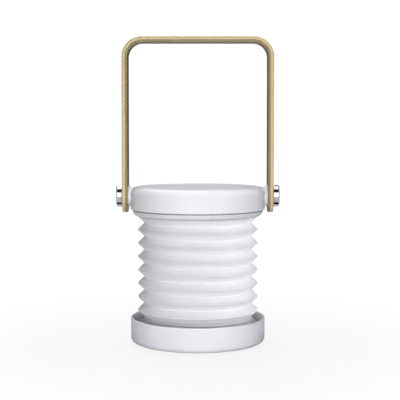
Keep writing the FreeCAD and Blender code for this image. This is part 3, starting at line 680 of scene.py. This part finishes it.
def felt_group():
    """Pressed wool felt: tangled short fibres and a soft unevenness."""
    tree, start, end = new_group("felt", {"Fibres": 3000.0}, ("Tone", "Roughness", "Height"))
    place = start.outputs[0]
    fibres = noise(tree, place, 1.0, stretch=(1, 0.35, 0.6), detail=6.0, roughness=0.75, warp=1.5)
    tree.links.new(start.outputs["Fibres"], fibres.node.inputs["Scale"])
    tone = spread(tree, fibres, 0.3, 0.75)
    give(tree, end, Tone=tone, Roughness=spread(tree, fibres, 0.2, 0.8, 0.85, 0.98), Height=fibres)
    return tree


felt = clad("brown felt", felt_group(), (0.05, 0.035, 0.022), (0.13, 0.095, 0.06), 0.0002, Sheen_Weight=0.3)
for side in ("left", "right"):
    dress(chrome, "pivot_screw_" + side)
    dress(brass, "pivot_bush_" + side)
    dress(spacer, "pivot_washer_" + side)
    dress(felt, "pivot_felt_" + side)


# ---------------------------------------------------------------- bow
# The bow is a strip of bent plywood: a thick pale veneer outside and a darker one inside, with a dark
# glue line between them. The grain runs along the strip and round the bends, under a clear varnish.

inner_bend = 0.0120

def bow_place_group():
    """Where a point lies in the strip, from its place on the object: Along is the distance from the middle
    of the grip, round the bends and down the legs, negative on the left; Across is its depth; Inward is
    its distance from the outside face. With q the point's distance past the centres of the bends, held
    at 0 below them, the distance from the outside is bend minus |q|, and the bends add bend x atan(q)."""
    tree, start, end = new_group("place in the strip", {}, ("Along", "Across", "Inward"))
    low, high = (np.array(corner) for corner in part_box("handle_bow"))
    bush_low, bush_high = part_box("pivot_bush_right")
    thickness = bush_high[0] - bush_low[0]
    bend = inner_bend + float(thickness)
    centre_x, centre_z = float(high[0]) - bend, float(high[2]) - bend
    parts = add_node(tree, "SeparateXYZ", links={0: start.outputs[0]})
    x, y, z = parts.outputs
    wide = calc(tree, "ABSOLUTE", x)
    past_x = calc(tree, "MAXIMUM", calc(tree, "SUBTRACT", wide, centre_x), 0.0)
    past_z = calc(tree, "MAXIMUM", calc(tree, "SUBTRACT", z, centre_z), 0.0)
    squares = [calc(tree, "MULTIPLY", past, past) for past in (past_x, past_z)]
    reach = calc(tree, "SQRT", calc(tree, "ADD", *squares))
    inward = calc(tree, "SUBTRACT", bend, reach)
    turn = calc(tree, "MULTIPLY", calc(tree, "ARCTAN2", past_z, past_x), bend)
    leg = calc(tree, "MINIMUM", z, centre_z)
    grip = calc(tree, "MAXIMUM", calc(tree, "SUBTRACT", centre_x, wide), 0.0)
    run = calc(tree, "ADD", calc(tree, "ADD", leg, turn), grip)
    whole = centre_z + bend * math.pi / 2 + centre_x
    along = calc(tree, "MULTIPLY", calc(tree, "SUBTRACT", whole, run), calc(tree, "SIGN", x))
    give(tree, end, Along=along, Across=y, Inward=inward)
    return tree


def grain_group():
    """Straight-grained veneer: broad slow bands, fine streaks along the strip, and short dark pores."""
    tree, start, end = new_group("veneer grain", {"Shift": 0.0}, ("Streaks", "Pores", "Bands"))
    shift = add_node(tree, "CombineXYZ", links={0: start.outputs["Shift"], 1: start.outputs["Shift"]})
    place = add_node(tree, "VectorMath", links={0: start.outputs[0], 1: shift.outputs[0]}, operation="ADD").outputs[0]
    streaks = noise(tree, place, 1500.0, stretch=(0.02, 1, 1), detail=4.0, roughness=0.6, warp=0.15)
    bands = noise(tree, place, 260.0, stretch=(0.05, 1, 1), detail=2.0, warp=0.4)
    pores = noise(tree, place, 4200.0, stretch=(0.07, 1, 1), detail=1.0)
    give(
        tree,
        end,
        Streaks=spread(tree, streaks, 0.3, 0.7),
        Pores=spread(tree, pores, 0.66, 0.72),
        Bands=spread(tree, bands, 0.3, 0.7),
    )
    return tree


def bow_material():
    """Three layers by their distance from the outside face, each with its own grain, under varnish."""
    made = bpy.data.materials.new("bent plywood")
    made.use_nodes = True
    tree = made.node_tree
    shader = tree.nodes["Principled BSDF"]
    strip = add_node(tree, "Group", node_tree=bow_place_group())
    tree.links.new(add_node(tree, "TexCoord").outputs["Object"], strip.inputs["Place"])
    along, across, inward = (strip.outputs[label] for label in ("Along", "Across", "Inward"))
    place = add_node(tree, "CombineXYZ", links={0: along, 1: across, 2: inward}).outputs[0]
    wander = calc(tree, "MULTIPLY", calc(tree, "SUBTRACT", noise(tree, place, 60.0), 0.5), 0.0003)
    depth = calc(tree, "ADD", inward, wander)
    grain_tree = grain_group()
    layers = (
        (0.0, (0.39, 0.285, 0.12), (0.54, 0.42, 0.20)),
        (3.7, (0.445, 0.345, 0.19), (0.58, 0.475, 0.285)),
        (9.1, (0.178, 0.13, 0.052), (0.285, 0.22, 0.10)),
    )
    colours, heights = [], []
    for shift, dark, light in layers:
        grain = add_node(tree, "Group", {"Shift": shift}, {"Place": place}, node_tree=grain_tree)
        tone = calc(
            tree,
            "ADD",
            calc(tree, "MULTIPLY", grain.outputs["Streaks"], 0.6),
            calc(tree, "MULTIPLY", grain.outputs["Bands"], 0.4),
        )
        colour = mix_colour(tree, tone, dark, light)
        colours.append(mix_colour(tree, calc(tree, "MULTIPLY", grain.outputs["Pores"], 0.35), colour, dark))
        heights.append(grain)
    outer = mix_colour(tree, spread(tree, depth, 0.0009, 0.0015), colours[0], colours[1])
    glue = (0.06, 0.035, 0.018)
    wood = mix_colour(tree, spread(tree, depth, 0.00270, 0.00280), outer, glue)
    wood = mix_colour(tree, spread(tree, depth, 0.00305, 0.00315), wood, colours[2])
    tree.links.new(wood, shader.inputs["Base Color"])
    streaks, pores = heights[1].outputs["Streaks"], heights[1].outputs["Pores"]
    rough = spread(tree, streaks, 0.0, 1.0, 0.36, 0.48)
    tree.links.new(rough, shader.inputs["Roughness"])
    relief = calc(tree, "SUBTRACT", calc(tree, "MULTIPLY", streaks, 0.4), pores)
    bump = add_node(tree, "Bump", {"Distance": 0.00004}, {"Height": relief})
    tree.links.new(bump.outputs[0], shader.inputs["Normal"])
    shader.inputs["Coat Weight"].default_value = 0.2
    shader.inputs["Coat Roughness"].default_value = 0.22
    return made


dress(bow_material(), "handle_bow")


# ---------------------------------------------------------------- studio
# A pale table and a bright backdrop, a low soft key in front, lights above and behind, and dim even
# light from all round. A light at the right shines through the paper only. The cards, two pale and
# three dark, are seen by shiny surfaces only.


def emitter(name, colour, strength):
    """A material that gives off light and nothing else."""
    made = bpy.data.materials.new(name)
    made.use_nodes = True
    tree = made.node_tree
    tree.nodes.remove(tree.nodes["Principled BSDF"])
    glow = add_node(tree, "Emission", {"Color": (*colour, 1.0), "Strength": strength})
    tree.links.new(glow.outputs[0], tree.nodes["Material Output"].inputs[0])
    return made


def flat_board(name, centre, across, up):
    """A rectangle from its centre and its two half sides."""
    centre, across, up = (np.array(v, float) for v in (centre, across, up))
    corners = [centre - across - up, centre + across - up, centre + across + up, centre - across + up]
    mesh = bpy.data.meshes.new(name)
    mesh.from_pydata([c.tolist() for c in corners], [], [(0, 1, 2, 3)])
    board = bpy.data.objects.new(name, mesh)
    bpy.context.scene.collection.objects.link(board)
    return board


def soft_light(name, place, aim, size, power, colour):
    """A square area light of a size in metres that points at aim."""
    data = bpy.data.lights.new(name, "AREA")
    data.size = size
    data.energy = power
    data.color = colour
    lamp = bpy.data.objects.new(name, data)
    bpy.context.scene.collection.objects.link(lamp)
    lamp.location = place
    way = np.array(aim, float) - np.array(place, float)
    lamp.rotation_euler = (math.atan2(math.hypot(way[0], way[1]), -way[2]), 0, math.atan2(-way[0], way[1]))
    return lamp


table = flat_board("table_top", (0, 0, -0.0002), (6, 0, 0), (0, 6, 0))
table_paint = bpy.data.materials.new("pale table")
table_paint.use_nodes = True
tree = table_paint.node_tree
paint = tree.nodes["Principled BSDF"]
paint.inputs["Base Color"].default_value = (0.42, 0.42, 0.42, 1.0)
paint.inputs["Roughness"].default_value = 0.9
paint.inputs["Specular IOR Level"].default_value = 0.0
lit = add_node(tree, "Emission", {"Color": (1, 1, 1, 1), "Strength": 1.04})
place = add_node(tree, "TexCoord").outputs["Object"]
reach = add_node(tree, "VectorMath", links={0: place}, operation="LENGTH").outputs["Value"]
share = spread(tree, reach, 0.1, 0.4, 0.82, 1.0)
seen = calc(tree, "MULTIPLY", add_node(tree, "LightPath").outputs["Is Camera Ray"], share)
both = add_node(tree, "MixShader", links={0: seen, 1: paint.outputs[0], 2: lit.outputs[0]})
tree.links.new(both.outputs[0], tree.nodes["Material Output"].inputs[0])
table.data.materials.append(table_paint)

for name, centre, across, up in (
    ("backdrop_rear", (0, 6, 3), (6, 0, 0), (0, 0, 4)),
    ("backdrop_front", (0, -6, 3), (6, 0, 0), (0, 0, 4)),
    ("backdrop_left", (-6, 0, 3), (0, 6, 0), (0, 0, 4)),
    ("backdrop_right", (6, 0, 3), (0, 6, 0), (0, 0, 4)),
):
    wall = flat_board(name, centre, across, up)
    wall.data.materials.append(emitter(name, (1, 1, 1), 1.05))
    wall.visible_diffuse = wall.visible_glossy = wall.visible_shadow = wall.visible_transmission = False

for name, centre, across, up, glow in (
    ("card_front", (0.0, -1.3, 0.45), (1.4, 0, 0), (0, 0.0, 0.70), 1.5),
    ("card_over", (0.0, -0.55, 1.02), (0.7, 0, 0), (0, 0.32, 0.22), 0.03),
    ("card_top", (0.0, 0.2, 1.3), (0.7, 0, 0), (0, 0.7, 0), 1.1),
    ("card_rear", (0.0, 1.3, 0.5), (1.4, 0, 0), (0, 0, 0.9), 0.03),
    ("card_under", (0.0, -0.016, 0.001), (0.25, 0, 0), (0, 0.031, 0), 0.0),
):
    card = flat_board(name, centre, across, up)
    card.data.materials.append(emitter(name, (1, 1, 1), glow))
    card.visible_camera = card.visible_diffuse = card.visible_shadow = card.visible_transmission = False

key = soft_light("key", (0.06, -1.35, 0.10), (0, 0, 0.10), 0.5, 14.4, (0.97, 0.98, 1.0))
key.data.shape = "RECTANGLE"
key.data.size_y = 0.14
key.visible_glossy = False
soft_light("top", (0.0, 0.1, 1.5), (0, 0, 0.1), 0.8, 16.5, (0.98, 0.98, 1.0))
soft_light("rear", (-0.25, 1.3, 1.0), (0, 0, 0.1), 0.8, 10.4, (1.0, 1.0, 1.0))
side = soft_light("side", (1.2, 0.15, 0.25), (0, 0, 0.06), 0.6, 9.0, (1.0, 1.0, 0.98))
through_paper = bpy.data.collections.new("through the paper")
through_paper.objects.link(shade)
side.light_linking.receiver_collection = through_paper

world = bpy.data.worlds.new("even light")
world.use_nodes = True
world.node_tree.nodes["Background"].inputs["Color"].default_value = (0.93, 0.95, 1.0, 1.0)
world.node_tree.nodes["Background"].inputs["Strength"].default_value = 0.37
bpy.context.scene.world = world
bpy.context.scene.view_settings.view_transform = "Standard"

view_height, view_distance, view_side = 0.1814, 0.8843, 0.0018
look_down = 0.0517
camera_data = bpy.data.cameras.new("camera")
camera_data.sensor_width = 36.0
camera_data.lens = 95.35
camera_data.shift_y = -0.05
camera = bpy.data.objects.new("camera", camera_data)
bpy.context.scene.collection.objects.link(camera)
camera.location = (view_side, -view_distance, view_height)
camera.rotation_euler = (math.pi / 2 - look_down, 0, 0)
bpy.context.scene.camera = camera
